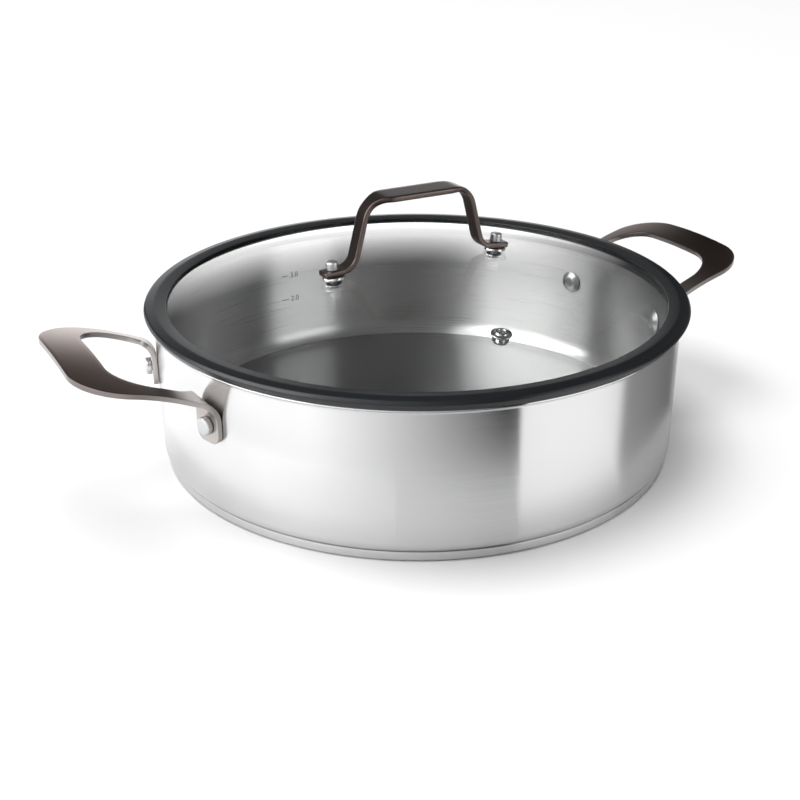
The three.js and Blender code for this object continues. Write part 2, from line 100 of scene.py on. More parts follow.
# Drawn stainless steel, brushed round the axis: reflections smear up and down, fine lines run round
def brushedSteel(name, look):
    material, tree, shader = startMaterial(name)
    place = addNode(tree, "ShaderNodeTexCoord").outputs["Object"]
    parts = addNode(tree, "ShaderNodeSeparateXYZ", None, {"Vector": place})
    along = addNode(tree, "ShaderNodeMath", None, {0: fromAxis(tree, place), 1: parts.outputs["Z"]})
    lines = addNode(tree, "ShaderNodeMath", {"operation": "MULTIPLY"},
                    {0: along.outputs["Value"], 1: look["streakLength"] / look["lineSpacing"]})
    spread = addNode(tree, "ShaderNodeCombineXYZ", None, {
        "X": parts.outputs["X"], "Y": parts.outputs["Y"], "Z": lines.outputs["Value"]})
    brush = addNode(tree, "ShaderNodeTexNoise", None, {
        "Vector": spread.outputs["Vector"], "Scale": 1 / (look["streakLength"] * mm),
        "Detail": 3, "Roughness": 0.6}).outputs["Fac"]
    around = addNode(tree, "ShaderNodeTangent", {"direction_type": "RADIAL", "axis": "Z"})
    tree.links.new(cloudTone(tree, place, look), shader.inputs["Base Color"])
    tree.links.new(spreadGloss(tree, brush, look), shader.inputs["Roughness"])
    tree.links.new(raised(tree, brush, look["lineStrength"], look["lineDepth"]), shader.inputs["Normal"])
    tree.links.new(around.outputs["Tangent"], shader.inputs["Tangent"])
    shader.inputs["Metallic"].default_value = 1
    shader.inputs["Anisotropic"].default_value = look["smear"]
    shader.inputs["Anisotropic Rotation"].default_value = 0.25
    return material


# One finish with a fine grain: colour and gloss vary a little, and the grain stands out a little.
# A finish with a foot sheen tone fades to that lighter tone near the pan's wall: a painted reflection.
def grainedFinish(name, look):
    material, tree, shader = startMaterial(name)
    place = addNode(tree, "ShaderNodeTexCoord").outputs["Object"]
    grain = addNode(tree, "ShaderNodeTexNoise", None, {
        "Vector": place, "Scale": 1 / (look["grainSize"] * mm), "Detail": 3, "Roughness": 0.55}).outputs["Fac"]
    tone = cloudTone(tree, place, look)
    # painted reflection: the tone turns lighter near the pan's wall
    if "footSheenTone" in look:
        fade = addNode(tree, "ShaderNodeMapRange", {"interpolation_type": "SMOOTHSTEP"}, {
            "Value": fromAxis(tree, place),
            "From Min": look["footSheenEnd"] * mm, "From Max": look["footSheenGone"] * mm})
        tone = addNode(tree, "ShaderNodeMix", {"data_type": "RGBA"}, {
            "Factor": fade.outputs["Result"], "A": linear(look["footSheenTone"]), "B": tone}).outputs["Result"]
    tree.links.new(tone, shader.inputs["Base Color"])
    tree.links.new(spreadGloss(tree, grain, look), shader.inputs["Roughness"])
    tree.links.new(raised(tree, grain, look["grainStrength"], look["grainDepth"]), shader.inputs["Normal"])
    shader.inputs["Metallic"].default_value = look["metallic"]
    if "ior" in look:
        shader.inputs["IOR"].default_value = look["ior"]
    return material


# Clear tempered glass, a little green in its depth
def clearGlass(name, look):
    material, tree, shader = startMaterial(name)
    place = addNode(tree, "ShaderNodeTexCoord").outputs["Object"]
    wave = addNode(tree, "ShaderNodeTexNoise", None, {"Vector": place, "Scale": 1 / (look["waveSize"] * mm)})
    relief = raised(tree, wave.outputs["Fac"], look["waveStrength"], look["waveDepth"])
    tree.links.new(relief, shader.inputs["Normal"])
    shader.inputs["Base Color"].default_value = linear(look["tone"])
    shader.inputs["Transmission Weight"].default_value = 1
    shader.inputs["Roughness"].default_value = look["roughness"]
    shader.inputs["IOR"].default_value = look["ior"]
    return material


# the brush lines are drawn wider than the real 0.1 mm, so that they show
brushed = {
    "darkTone": "#c0c0c1", "lightTone": "#cacaca", "cloudSize": 60, "lineSpacing": 0.7, "streakLength": 60,
    "roughness": 0.23, "roughSpread": 0.02, "lineStrength": 0.012, "lineDepth": 0.02, "smear": 0.95}
steel = brushedSteel("brushedStainless", brushed)
# the inside is brushed more softly, so that it looks satin; its tone, lighter than the outside's, is painted
# light
satin = brushedSteel("satinStainlessPaintedLight", {
    "darkTone": "#d2d2d2", "lightTone": "#dadada", "cloudSize": 60, "lineSpacing": 0.3, "streakLength": 80,
    "roughness": 0.28, "roughSpread": 0.008, "lineStrength": 0.004, "lineDepth": 0.02, "smear": 1})
# the pan's floor is the same brushed steel in a darker tone: painted shade that dims its bright reflection
shadedFloor = brushedSteel("shadedFloorStainless", {**brushed, "darkTone": "#a3a3a4", "lightTone": "#acacac"})
# thin bronze-brown vapour coat on steel: dark, metallic and satin
coat = {"darkTone": "#806f69", "lightTone": "#8b7a74", "cloudSize": 25, "grainSize": 0.8, "roughness": 0.3,
        "roughSpread": 0.02, "grainStrength": 0.012, "grainDepth": 0.03, "metallic": 1}
# the lid handle takes the coat in a darker tone than the side handles: painted shade
bronze = grainedFinish("bronzeVapourCoat", {**coat, "darkTone": "#5e5450", "lightTone": "#685d59"})
# the same coat on the side handles, lighter towards the feet and stems: painted reflection of the bright floor
# and lamps
footSheen = {"footSheenTone": "#a09b98", "footSheenEnd": 146, "footSheenGone": 180}
bronzeWithFootSheen = grainedFinish("bronzeVapourCoatFootSheen", {**coat, **footSheen})
# their upright faces, the cut edges and the feet's faces, in a greyer tone than the rest: painted sheen
edgeSheen = grainedFinish("bronzeVapourCoatEdgeSheen", {
    **coat, **footSheen, "darkTone": "#6a6664", "lightTone": "#746f6d"})
# polished, chrome-bright stainless fixings
chrome = grainedFinish("polishedStainless", {
    "darkTone": "#d6d7d8", "lightTone": "#e0e1e2", "cloudSize": 6, "grainSize": 0.6, "roughness": 0.2,
    "roughSpread": 0.04, "grainStrength": 0.03, "grainDepth": 0.02, "metallic": 1})
# the same steel on the lid screws, less polished, and in a greyer tone: painted shade
turnedHead = {
    "darkTone": "#c2c3c4", "lightTone": "#cacbcc", "cloudSize": 6, "grainSize": 0.6, "roughness": 0.36,
    "roughSpread": 0.04, "grainStrength": 0.02, "grainDepth": 0.02, "metallic": 1}
dulledAndShaded = grainedFinish("dulledAndShadedStainless", turnedHead)
# the rivets are upset cold; they take the screws' steel in a still greyer tone, painted shade
shadedRivetSteel = grainedFinish("shadedRivetStainless", {**turnedHead, "darkTone": "#b0b1b2", "lightTone": "#b8b9ba"})
# moulded silicone rubber, slate grey: satin skin
silicone = grainedFinish("mouldedSilicone", {
    "darkTone": "#14171a", "lightTone": "#1a1d20", "cloudSize": 30, "grainSize": 0.7, "roughness": 0.36,
    "roughSpread": 0.05, "grainStrength": 0.05, "grainDepth": 0.03, "metallic": 0, "ior": 1.41})
# rolled aluminium disc of the base
aluminium = grainedFinish("rolledAluminium", {
    "darkTone": "#c8cacc", "lightTone": "#d4d6d8", "cloudSize": 40, "grainSize": 0.8, "roughness": 0.4,
    "roughSpread": 0.05, "grainStrength": 0.05, "grainDepth": 0.03, "metallic": 1})
# acid-etched marks: darker and duller than the wall
etched = grainedFinish("etchedStainless", {
    "darkTone": "#3c3d3e", "lightTone": "#4a4b4c", "cloudSize": 4, "grainSize": 0.5, "roughness": 0.6,
    "roughSpread": 0.05, "grainStrength": 0.05, "grainDepth": 0.02, "metallic": 0})
glass = clearGlass("temperedGlass", {
    "tone": "#fdfefd", "roughness": 0, "ior": 1.5, "waveSize": 60, "waveStrength": 0.02, "waveDepth": 0.05})
print("materials made")


# Mesh helpers

def softened(points, segments=6):  # (radius, height, corner radius) in mm; corners become short arcs
    result = []
    for i, (radius, height, corner) in enumerate(points):
        here = Vector((radius, height))
        if corner == 0:
            result.append(here)
            continue
        before = (Vector(points[i - 1][:2]) - here).normalized()
        after = (Vector(points[(i + 1) % len(points)][:2]) - here).normalized()
        half = before.angle(after) / 2
        centre = here + (before + after).normalized() * (corner / math.sin(half))
        start = here + before * (corner / math.tan(half)) - centre
        end = here + after * (corner / math.tan(half)) - centre
        sweep = start.angle_signed(end)
        result += [centre + Matrix.Rotation(-sweep * k / segments, 2) @ start for k in range(segments + 1)]
    return result


def spinProfile(profile, steps, closed=False):
    bm = bmesh.new()
    verts = [bm.verts.new((radius * mm, 0, height * mm)) for radius, height in profile]
    edges = [bm.edges.new(pair) for pair in zip(verts, verts[1:])]
    if closed:
        edges.append(bm.edges.new((verts[-1], verts[0])))
    bmesh.ops.spin(bm, geom=verts + edges, cent=(0, 0, 0), axis=(0, 0, 1), angle=2 * math.pi, steps=steps,
                   use_merge=True)
    bmesh.ops.remove_doubles(bm, verts=bm.verts[:], dist=weld)
    bmesh.ops.recalc_face_normals(bm, faces=bm.faces[:])
    return bm


def gridThrough(rows):  # a grid sheet laid through rows of points in mm
    bm = bmesh.new()
    across, along = len(rows[0]) - 1, len(rows) - 1
    bmesh.ops.create_grid(bm, x_segments=across, y_segments=along, size=1)
    for vert in bm.verts:
        i = round((vert.co.x + 1) / 2 * across)
        j = round((vert.co.y + 1) / 2 * along)
        vert.co = rows[j][i] * mm
    return bm


def thicken(bm, thickness, edgeRound, rounds, roundFrom=50):  # sheet to solid with rounded edges
    mesh = bpy.data.meshes.new("sheet")
    bm.to_mesh(mesh)
    holder = bpy.data.objects.new("sheet", mesh)
    scene.collection.objects.link(holder)
    wall = holder.modifiers.new("wall", "SOLIDIFY")
    wall.thickness = thickness * mm
    wall.offset = 0
    wall.use_even_offset = True
    edge = holder.modifiers.new("edge", "BEVEL")
    edge.width = edgeRound * mm
    edge.segments = rounds
    edge.limit_method = "ANGLE"
    edge.angle_limit = math.radians(roundFrom)
    finished = bpy.data.meshes.new_from_object(holder.evaluated_get(bpy.context.evaluated_depsgraph_get()))
    bm.clear()
    bm.from_mesh(finished)
    bpy.data.objects.remove(holder)
    bpy.data.meshes.remove(finished)
    bpy.data.meshes.remove(mesh)
    bmesh.ops.recalc_face_normals(bm, faces=bm.faces[:])
    return bm


def makePiece(name, bm, material, body, slotName, *nodes, sharp=40):
    mesh = bpy.data.meshes.new(name)
    bm.to_mesh(mesh)
    bm.free()
    mesh.materials.append(material)
    mesh.shade_smooth()
    mesh.set_sharp_from_angle(angle=math.radians(sharp))
    piece = bpy.data.objects.new(name, mesh)
    scene.collection.objects.link(piece)
    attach(piece, body)
    if nodes:
        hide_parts(*nodes)
    return piece


# Camera at the photo's place
view = {"place": (-0.309559, -0.545037, 0.310004), "turn": (65.0805, 0.1308, -28.8212), "lens": 55.037,
        "sensor": 36}
camera = bpy.data.objects.new("camera", bpy.data.cameras.new("camera"))
camera.data.sensor_width = view["sensor"]
camera.data.lens = view["lens"]
camera.location = view["place"]
camera.rotation_euler = [math.radians(angle) for angle in view["turn"]]
scene.collection.objects.link(camera)
scene.camera = camera

# Pan: wall, floor and lip are one drawn skin
pan = {"inner": 140, "outer": 141, "height": 80, "floor": 3.8, "sheet": 1, "corner": 6, "innerCorner": 10,
       "lip": 143.3, "underLip": 2.2, "overLip": 3, "lipLower": 0.3, "lipUpper": 0.4, "steps": 256}
bm = spinProfile(softened([
    (0, pan["floor"], 0),
    (pan["outer"], pan["floor"], pan["corner"]),
    (pan["outer"], pan["height"] - pan["sheet"], pan["underLip"]),
    (pan["lip"], pan["height"] - pan["sheet"], pan["lipLower"]),
    (pan["lip"], pan["height"], pan["lipUpper"]),
    (pan["inner"], pan["height"], pan["overLip"]),
    (pan["inner"], pan["floor"] + pan["sheet"], pan["innerCorner"]),
    (0, pan["floor"] + pan["sheet"], 0),
]), pan["steps"])
for face in bm.faces:
    middle = face.calc_center_median()
    out = middle.normalized()
    # inward faces take the satin steel, whose lighter tone is partly painted light
    if face.normal.x * out.x + face.normal.y * out.y < -steep:
        face.material_index = 1
    # upward faces low down, the inner floor, take the darker floor steel: painted shade
    elif face.normal.z > steep and middle.z < pan["height"] / 2 * mm:
        face.material_index = 2
panShell = makePiece("panShell", bm, steel, "pan", "steel", "pan_shell")
panShell.data.materials.append(satin)
panShell.data.materials.append(shadedFloor)

# Base capsule below the floor
base = {"radius": 139.1, "top": 5.17, "wall": 0.8, "edge": 1, "topRound": 0.2, "tuck": 0.6, "step": 0.2}
bm = spinProfile(softened([
    (0, 0, 0),
    (base["radius"], 0, base["edge"]),
    (base["radius"], base["top"], base["topRound"]),
    (base["radius"] - base["wall"], base["top"] - base["tuck"], 0),
    (base["radius"] - base["wall"], base["wall"] + base["step"], 0),
    (base["radius"] - base["edge"], base["wall"], 0),
    (0, base["wall"], 0),
]), pan["steps"])
makePiece("baseCap", bm, steel, "pan", "steel", "base_cap")
print("pan made")

# Side handles: a flat blank bent over the wall, with a crowned grip
handle = {
    "end": 197.5, "half": 47.3, "thickness": 2.6, "gripDepth": 18.8, "outerCorner": 23.8, "innerCorner": 19.4,
    "gripHeight": 85.7, "gripSlope": 4.5, "crown": 3.4, "stemWidth": 8.6, "stemSlope": 23, "knee": 24.4,
    "gripBend": 145, "footRadius": 142.55, "footBend": 12, "footWidth": 15.6, "footEnd": 44.3,
    "footCorner": 5, "flareStart": 137.2, "flareLength": 11, "rivetAside": 40.3, "edgeRound": 0.5,
    "edgeSteps": 4, "columns": 8, "gripRows": 6, "cornerRows": 16, "stemRows": 9, "bendRows": 10,
    "footRows": 3, "footCornerRows": 5}


def sheetHeight(u):  # middle of the sheet over the distance from the pan's axis
    stem, grip = math.radians(handle["stemSlope"]), math.radians(handle["gripSlope"])
    knee = handle["end"] - handle["knee"]
    kneeHeight = handle["gripHeight"] - handle["knee"] * math.tan(grip)
    reach = handle["gripBend"] * math.tan((stem - grip) / 2)
    startU, startZ = knee - reach * math.cos(stem), kneeHeight - reach * math.sin(stem)
    if u < startU:
        return startZ - (startU - u) * math.tan(stem)
    if u > knee + reach * math.cos(grip):
        return kneeHeight + (u - knee) * math.tan(grip)
    centreU = startU + handle["gripBend"] * math.sin(stem)
    centreZ = startZ - handle["gripBend"] * math.cos(stem)
    return centreZ + math.sqrt(handle["gripBend"] ** 2 - (u - centreU) ** 2)


def gripPoint(at):  # at is (distance out, distance aside)
    drop = handle["crown"] * (at.y / handle["half"]) ** 2
    return Vector((at.x, at.y, sheetHeight(at.x) - drop))


def bendStart(aside):  # centre of the foot's bend
    stem = math.radians(handle["stemSlope"])
    centreU = math.sqrt(handle["footRadius"] ** 2 - aside ** 2) + handle["footBend"]
    top = gripPoint(Vector((centreU - handle["footBend"] * math.sin(stem), aside)))
    return centreU, top.z - handle["footBend"] * math.cos(stem)


def bendPoint(at):  # at is (turn in degrees, distance aside)
    centreU, centreZ = bendStart(at.y)
    turn = math.radians(at.x)
    bend = handle["footBend"]
    return Vector((centreU + bend * math.cos(turn), at.y, centreZ + bend * math.sin(turn)))


def footPoint(at):  # at is (height or share of the straight foot, distance aside)
    centreU, centreZ = bendStart(at.y)
    cornerTop = handle["footEnd"] + handle["footCorner"]
    height = centreZ + (cornerTop - centreZ) * at.x if at.x <= 1 else at.x
    return Vector((centreU - handle["footBend"], at.y, height))


def stemEdges(u):  # the stem widens into the foot
    share = min(max((u - handle["flareStart"]) / handle["flareLength"], 0), 1)
    share = share * share * (3 - 2 * share)
    footInner = handle["rivetAside"] - handle["footWidth"] / 2
    footOuter = handle["rivetAside"] + handle["footWidth"] / 2
    outer = footOuter + (handle["half"] - footOuter) * share
    inner = footInner + (handle["half"] - handle["stemWidth"] - footInner) * share
    return outer, inner


def halfHandle():
    rows = []

    def addRow(pointOf, outer, inner):
        columns = handle["columns"]
        rows.append([pointOf(Vector(outer).lerp(Vector(inner), k / columns)) for k in range(columns + 1)])

    opening = handle["end"] - handle["gripDepth"]
    stemInner = handle["half"] - handle["stemWidth"]
    outerStart, innerStart = handle["half"] - handle["outerCorner"], stemInner - handle["innerCorner"]
    count = handle["gripRows"]
    for k in range(count):
        addRow(gripPoint, (handle["end"], outerStart * k / count), (opening, innerStart * k / count))
    outerU, innerU = handle["end"] - handle["outerCorner"], opening - handle["innerCorner"]
    count = handle["cornerRows"]
    for k in range(count + 1):
        turn = math.radians(90) * k / count
        way = Vector((math.cos(turn), math.sin(turn)))
        addRow(gripPoint,
               Vector((outerU, outerStart)) + handle["outerCorner"] * way,
               Vector((innerU, innerStart)) + handle["innerCorner"] * way)
    stemEnd = bendStart(handle["rivetAside"])[0]
    count = handle["stemRows"]
    for k in range(1, count):
        u = outerU + (stemEnd - outerU) * k / count
        v = innerU + (stemEnd - innerU) * k / count
        addRow(gripPoint, (u, stemEdges(u)[0]), (v, stemEdges(v)[1]))
    first = 90 + handle["stemSlope"]
    count = handle["bendRows"]
    for k in range(count + 1):
        turn = first + (180 - first) * k / count
        u = stemEnd + handle["footBend"] * math.cos(math.radians(turn))
        outer, inner = stemEdges(u)
        addRow(bendPoint, (turn, outer), (turn, inner))
    outer, inner = stemEdges(handle["flareStart"])
    count = handle["footRows"]
    for k in range(1, count + 1):
        addRow(footPoint, (k / count, outer), (k / count, inner))
    count = handle["footCornerRows"]
    for k in range(1, count + 1):
        turn = math.radians(90) * k / count
        inset = handle["footCorner"] * (1 - math.cos(turn))
        height = handle["footEnd"] + handle["footCorner"] * (1 - math.sin(turn))
        addRow(footPoint, (height, outer - inset), (height, inner + inset))
    return gridThrough(rows)


for side, turn in (("right", 0), ("left", 180)):
    bm = halfHandle()
    bmesh.ops.mirror(bm, geom=bm.verts[:] + bm.edges[:] + bm.faces[:], axis="Y", merge_dist=weld)
    bmesh.ops.remove_doubles(bm, verts=bm.verts[:], dist=weld)
    bmesh.ops.recalc_face_normals(bm, faces=bm.faces[:])
    thicken(bm, handle["thickness"], handle["edgeRound"], handle["edgeSteps"])
    bmesh.ops.rotate(bm, verts=bm.verts[:], cent=(0, 0, 0),
                     matrix=Matrix.Rotation(math.radians(turn), 3, "Z"))
    for face in bm.faces:
        # upright faces, the edges and the feet, take the greyer tone: painted sheen
        face.material_index = 1 if abs(face.normal.z) < steep else 0
    piece = makePiece(side + "Handle", bm, bronzeWithFootSheen, "pan", "bronze", side + "_handle")
    piece.data.materials.append(edgeSheen)
print("side handles made")

# Rivets through the feet: a button head outside, a low dome inside
rivet = {"height": 53.5, "aside": 40.3, "wall": 141, "outerSeat": 144.1, "innerSeat": 139.4, "shank": 2.5,
         "outerHead": 4.6, "outerRise": 3.1, "outerFoot": 0.2, "outerRound": 1.3,
         "innerHead": 6.25, "innerRise": 2.6, "domeShare": 0.55, "domeRound": 4,
         "brim": 0.5, "brimRound": 0.6, "brimFoot": 0.1, "steps": 48}
rivetTurn = math.degrees(math.asin(rivet["aside"] / rivet["wall"]))
for name, turn in (("right_rear", rivetTurn), ("right_front", -rivetTurn),
                   ("left_front", 180 + rivetTurn), ("left_rear", 180 - rivetTurn)):
    bm = spinProfile(softened([
        (0, rivet["innerSeat"] - rivet["innerRise"], 0),
        (rivet["innerHead"] * rivet["domeShare"], rivet["innerSeat"] - rivet["innerRise"], rivet["domeRound"]),
        (rivet["innerHead"], rivet["innerSeat"] - rivet["brim"], rivet["brimRound"]),
        (rivet["innerHead"], rivet["innerSeat"], rivet["brimFoot"]),
        (rivet["shank"], rivet["innerSeat"], 0),
        (rivet["shank"], rivet["outerSeat"], 0),
        (rivet["outerHead"], rivet["outerSeat"], rivet["outerFoot"]),
        (rivet["outerHead"], rivet["outerSeat"] + rivet["outerRise"], rivet["outerRound"]),
        (0, rivet["outerSeat"] + rivet["outerRise"], 0),
    ]), rivet["steps"])
    place = (Matrix.Translation((0, 0, rivet["height"] * mm)) @ Matrix.Rotation(math.radians(turn), 4, "Z")
             @ Matrix.Rotation(math.radians(90), 4, "Y"))
    bmesh.ops.transform(bm, matrix=place, verts=bm.verts[:])
    # rivets in the greyer steel, painted shade
    makePiece(name + "Rivet", bm, shadedRivetSteel, "pan", "chrome", name + "_rivet")
print("rivets made")

# Volume marks on the inner wall: a short line and a plain number each
marks = {"azimuth": 95.6, "wall": 140, "relief": 0.06, "line": 4.6, "lineWidth": 0.45, "gap": 1.6,
         "tall": 3.4, "sizePerTall": 1.4, "weld": 1e-4, "sharp": 30, "rows": (("3.0", 52.5), ("2.0", 37.0))}
bm = bmesh.new()
for label, height in marks["rows"]:
    words = bpy.data.curves.new("mark", "FONT")
    words.body = label
    words.size = marks["tall"] * marks["sizePerTall"]
    words.align_x, words.align_y = "LEFT", "CENTER"
    words.extrude = marks["relief"] / 2
    holder = bpy.data.objects.new("mark", words)
    scene.collection.objects.link(holder)
    flat = bpy.data.meshes.new_from_object(holder.evaluated_get(bpy.context.evaluated_depsgraph_get()))
    bpy.data.objects.remove(holder)
    sign = bmesh.new()
    sign.from_mesh(flat)
    bmesh.ops.remove_doubles(sign, verts=sign.verts[:], dist=marks["weld"])
    line = bmesh.ops.create_cube(sign, size=1)["verts"]
    bmesh.ops.scale(sign, vec=(marks["line"], marks["lineWidth"], marks["relief"]), verts=line)
    bmesh.ops.translate(sign, vec=(-marks["gap"] - marks["line"] / 2, 0, 0), verts=line)
    for vert in sign.verts:
        turn = math.radians(marks["azimuth"]) - vert.co.x / marks["wall"]
        out = (marks["wall"] - vert.co.z) * mm
        vert.co = (out * math.cos(turn), out * math.sin(turn), (height + vert.co.y) * mm)
    sign.to_mesh(flat)
    sign.free()
    bm.from_mesh(flat)
    bpy.data.meshes.remove(flat)
bmesh.ops.recalc_face_normals(bm, faces=bm.faces[:])
makePiece("volumeMarks", bm, etched, "pan", "steel", sharp=marks["sharp"])
print("marks made")

# Lid glass: a shallow dome of even thickness
lid = {"glass": 137, "thickness": 4, "edgeTop": 83, "dome": 18.4, "edgeRound": 1, "rings": 40, "steps": 256}
domeRadius = (lid["glass"] ** 2 + lid["dome"] ** 2) / (2 * lid["dome"])
domeCentre = lid["edgeTop"] + lid["dome"] - domeRadius


def glassTop(radius):
    return domeCentre + math.sqrt(domeRadius ** 2 - radius ** 2)


def glassUnder(radius):
    return glassTop(radius) - lid["thickness"]


rings = [lid["glass"] * k / lid["rings"] for k in range(lid["rings"] + 1)]
under = [(r, glassUnder(r), 0) for r in rings[:-1]]
edge = [(lid["glass"], lid["edgeTop"] - lid["thickness"], lid["edgeRound"]),
        (lid["glass"], lid["edgeTop"], lid["edgeRound"])]
over = [(r, glassTop(r), 0) for r in reversed(rings[:-1])]
bm = spinProfile(softened(under + edge + over), lid["steps"])
lidGlass = makePiece("lidGlass", bm, glass, "lid", "glass", "lid_glass")
lidGlass.visible_shadow = False  # light goes through clear glass

# Soft rim round the glass
rim = {"plugInner": 136.1, "plugOuter": 139.1, "plugBottom": 74, "plugRound": 0.8, "seat": 80.25,
       "seatRound": 0.3, "foot": 143.8, "footRound": 0.5, "wide": 145.8, "shoulder": 83.6, "wideRound": 0.8,
       "shoulderInset": 1.2, "shoulderDrop": 0.6, "shoulderRound": 1.4, "crown": 85.8, "crownRadius": 140,
       "crownRound": 6, "grip": 133.9, "lip": 84.96, "lipRound": 0.4, "groove": 137.25, "slack": 0.05,
       "underLip": 1}
bm = spinProfile(softened([
    (rim["plugInner"], rim["plugBottom"], rim["plugRound"]),
    (rim["plugOuter"], rim["plugBottom"], rim["plugRound"]),
    (rim["plugOuter"], rim["seat"], rim["seatRound"]),
    (rim["foot"], rim["seat"], rim["footRound"]),
    (rim["wide"], rim["shoulder"], rim["wideRound"]),
    (rim["wide"] - rim["shoulderInset"], rim["crown"] - rim["shoulderDrop"], rim["shoulderRound"]),
    (rim["crownRadius"], rim["crown"], rim["crownRound"]),
    (rim["grip"], rim["lip"], rim["lipRound"]),
    (rim["grip"], glassTop(rim["grip"]) + rim["slack"], 0),
    (rim["groove"], glassTop(rim["groove"]) + rim["slack"], 0),
    (rim["groove"], glassUnder(rim["groove"]) - rim["slack"], 0),
    (rim["grip"], glassUnder(rim["grip"]) - rim["slack"], 0),
    (rim["grip"], glassUnder(rim["grip"]) - rim["underLip"], rim["lipRound"]),
]), lid["steps"], closed=True)
makePiece("lidRim", bm, silicone, "lid", "silicone", "lid_rim")
print("lid made")

# Fixings of the strap, stacked square to the glass: heights are from the top of the glass
fixing = {"aside": 49.5, "bore": 2.3, "shank": 2, "tipRound": 0.3, "strap": 4.15, "steps": 48,
          "flange": 6.1, "flangeBottom": 0.9, "flangeTop": 2.5, "flangeRound": 0.8, "foot": 0.2,
          "seat": 5.8, "head": 3.25, "headTop": 10.4, "headRound": 1.1,
          "nut": 3.8, "nutTop": -4.9, "nutBottom": -6.1, "nutRound": 0.5}
fixingTilt = math.asin(fixing["aside"] / domeRadius)
for side, sign in (("left", -1), ("right", 1)):
    shapes = {
        "screw": [
            (0, fixing["nutBottom"], 0),
            (fixing["shank"], fixing["nutBottom"], fixing["tipRound"]),
            (fixing["shank"], fixing["seat"], 0),
            (fixing["head"], fixing["seat"], fixing["foot"]),
            (fixing["head"], fixing["headTop"], fixing["headRound"]),
            (0, fixing["headTop"], 0)],
        "flange": [
            (fixing["bore"], fixing["flangeBottom"], 0),
            (fixing["flange"], fixing["flangeBottom"], fixing["foot"]),
            (fixing["flange"], fixing["flangeTop"], fixing["flangeRound"]),
            (fixing["bore"], fixing["flangeTop"], 0)],
        "nut": [
            (fixing["bore"], fixing["nutBottom"], 0),
            (fixing["nut"], fixing["nutBottom"], fixing["nutRound"]),
            (fixing["nut"], fixing["nutTop"], fixing["foot"]),
            (fixing["bore"], fixing["nutTop"], 0)],
    }
    place = (Matrix.Translation((sign * fixing["aside"] * mm, 0, glassTop(fixing["aside"]) * mm))
             @ Matrix.Rotation(sign * fixingTilt, 4, "Y"))
    for kind, outline in shapes.items():
        bm = spinProfile(softened(outline), fixing["steps"], closed=kind != "screw")
        bmesh.ops.transform(bm, matrix=place, verts=bm.verts[:])
        # the screws take the greyer steel, painted shade
        finish = dulledAndShaded if kind == "screw" else chrome
        slotName = "steel" if kind == "nut" else "chrome"
        makePiece(side + kind.title(), bm, finish, "lid", slotName, side + "_" + kind)

# Lid handle: one strap, wide at the bar and narrow at the legs
strap = {"height": 35.99, "foot": 11, "footEnd": 6.3, "footCut": 1, "lean": 9, "footBend": 9, "topBend": 13,
         "bar": 17, "leg": 9, "thickness": 2.8, "edgeRound": 0.5, "edgeSteps": 3, "columns": 6,
         "bendSteps": 12, "rowSpacing": 3}
footTurn = Matrix.Rotation(-fixingTilt, 2)
screwFoot = Vector((fixing["aside"], glassTop(fixing["aside"]))) + footTurn @ Vector((0, fixing["strap"]))
footCorner = screwFoot + footTurn @ Vector((-strap["foot"], 0))
strapTip = screwFoot + footTurn @ Vector((strap["footEnd"], 0))
footCut = screwFoot + footTurn @ Vector((strap["footEnd"] - strap["footCut"], 0))
barCorner = Vector((footCorner.x - strap["lean"], screwFoot.y + strap["height"]))


def strapWidth(x):  # narrows over the top bends, and the tips' corners are cut
    share = min(max((abs(x) - barCorner.x + strap["topBend"]) / strap["topBend"], 0), 1)
    width = strap["bar"] + (strap["leg"] - strap["bar"]) * share * share * (3 - 2 * share)
    return width - 2 * max(0, abs(x) - footCut.x)


half = softened([
    (0, barCorner.y, 0),
    (*barCorner, strap["topBend"]),
    (*footCorner, strap["footBend"]),
    (*footCut, 0),
    (*strapTip, 0),
], strap["bendSteps"])
path = []
for here, there in zip(half, half[1:]):
    pieces = max(1, round((there - here).length / strap["rowSpacing"]))
    path += [here.lerp(there, k / pieces) for k in range(pieces)]
path.append(half[-1])
path = [Vector((-point.x, point.y)) for point in reversed(path[1:])] + path
rows = [[Vector((x, strapWidth(x) * (k / strap["columns"] - 0.5), z)) for k in range(strap["columns"] + 1)]
        for x, z in path]
bm = gridThrough(rows)
thicken(bm, strap["thickness"], strap["edgeRound"], strap["edgeSteps"])
# the lid handle in the darker coat, painted shade
makePiece("lidHandle", bm, bronze, "lid", "bronze", "lid_handle")

# Steam vent, square to the glass: a flat flange with a raised ring round the hole
vent = {"offset": 95, "turn": -4.5, "hole": 1.9, "holeFoot": 0.15, "holeRound": 0.65, "tube": 2.7,
        "flange": 5.2, "flangeFoot": 0.1, "flangeRound": 0.2, "edge": 1.4, "seat": 0.9, "top": 2.5,
        "collar": 3.3, "collarRise": 0.7, "collarFoot": 0.3, "collarRound": 0.5,
        "crimp": 3.7, "crimpTop": -5, "crimpBottom": -5.5, "crimpUpper": 0.1, "crimpLower": 0.2, "steps": 48}
bm = spinProfile(softened([
    (vent["hole"], vent["crimpBottom"], vent["holeFoot"]),
    (vent["crimp"], vent["crimpBottom"], vent["crimpLower"]),
    (vent["crimp"], vent["crimpTop"], vent["crimpUpper"]),
    (vent["tube"], vent["crimpTop"], 0),
    (vent["tube"], vent["seat"], 0),
    (vent["flange"], vent["seat"], vent["flangeFoot"]),
    (vent["flange"], vent["edge"], vent["flangeRound"]),
    (vent["collar"], vent["top"] - vent["collarRise"], vent["collarFoot"]),
    (vent["collar"], vent["top"], vent["collarRound"]),
    (vent["hole"], vent["top"], vent["holeRound"]),
]), vent["steps"], closed=True)
tilt = math.asin(vent["offset"] / domeRadius)
